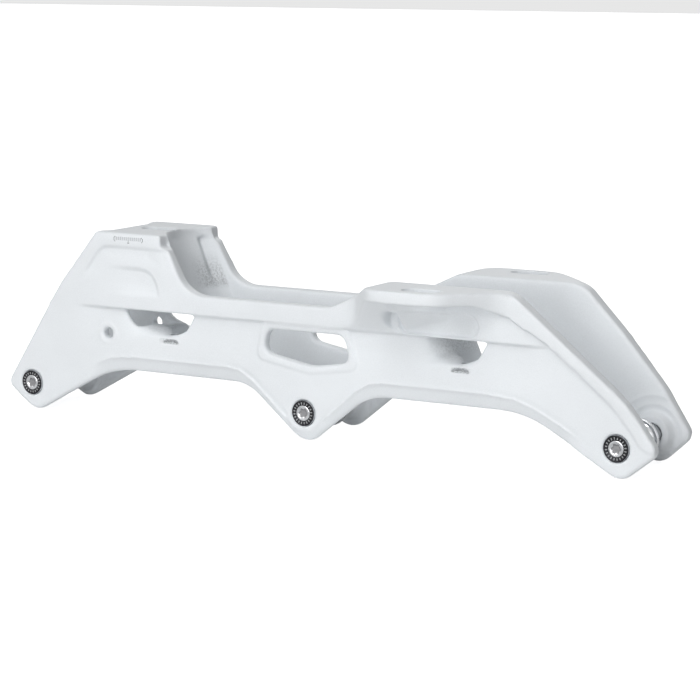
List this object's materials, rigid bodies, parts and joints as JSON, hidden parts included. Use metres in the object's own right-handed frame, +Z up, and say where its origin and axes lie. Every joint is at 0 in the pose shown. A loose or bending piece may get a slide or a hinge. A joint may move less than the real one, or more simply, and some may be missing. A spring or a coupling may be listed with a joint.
{
  "type": "inline skate frame",
  "caption": "Cast inline skate frame: wheel bays between its side walls, through axles, bearing spacers, a slotted heel pad and staggered slotted toe wings.",
  "frame": {"origin": "centre of the middle axle, halfway between the side walls", "axes": "+X forwards along the frame, +Y to the left, +Z up towards the boot"},
  "size_m": [0.298, 0.083, 0.0782],
  "materials": {
    "casting": "fine matt white powder coat on cast magnesium",
    "axle": "dark head with a polished cap, plain shank",
    "spacer": "bright turned",
    "insert": "turned"
  },
  "bodies": {
    "frame": {"frame_casting": "casting", "thread_insert_rear": "insert", "thread_insert_middle": "insert", "thread_insert_front": "insert"},
    "axle_rear": {"axle_rear": "axle"},
    "spacer_rear": {"bearing_spacer_rear": "spacer"},
    "axle_middle": {"axle_middle": "axle"},
    "spacer_middle": {"bearing_spacer_middle": "spacer"},
    "axle_front": {"axle_front": "axle"},
    "spacer_front": {"bearing_spacer_front": "spacer"}
  },
  "joints": [
    {"name": "axle_rear_out", "type": "slide", "parent": "frame", "child": "axle_rear", "axis": [0, -1, 0], "range_m": [0, 0.042]},
    {"name": "spacer_rear_slide", "type": "slide", "parent": "frame", "child": "spacer_rear", "axis": [0, 1, 0], "range_m": [-0.0071, 0.0071]},
    {"name": "axle_middle_out", "type": "slide", "parent": "frame", "child": "axle_middle", "axis": [0, -1, 0], "range_m": [0, 0.042]},
    {"name": "spacer_middle_slide", "type": "slide", "parent": "frame", "child": "spacer_middle", "axis": [0, 1, 0], "range_m": [-0.0071, 0.0071]},
    {"name": "axle_front_out", "type": "slide", "parent": "frame", "child": "axle_front", "axis": [0, -1, 0], "range_m": [0, 0.042]},
    {"name": "spacer_front_slide", "type": "slide", "parent": "frame", "child": "spacer_front", "axis": [0, 1, 0], "range_m": [-0.0071, 0.0071]}
  ]
}
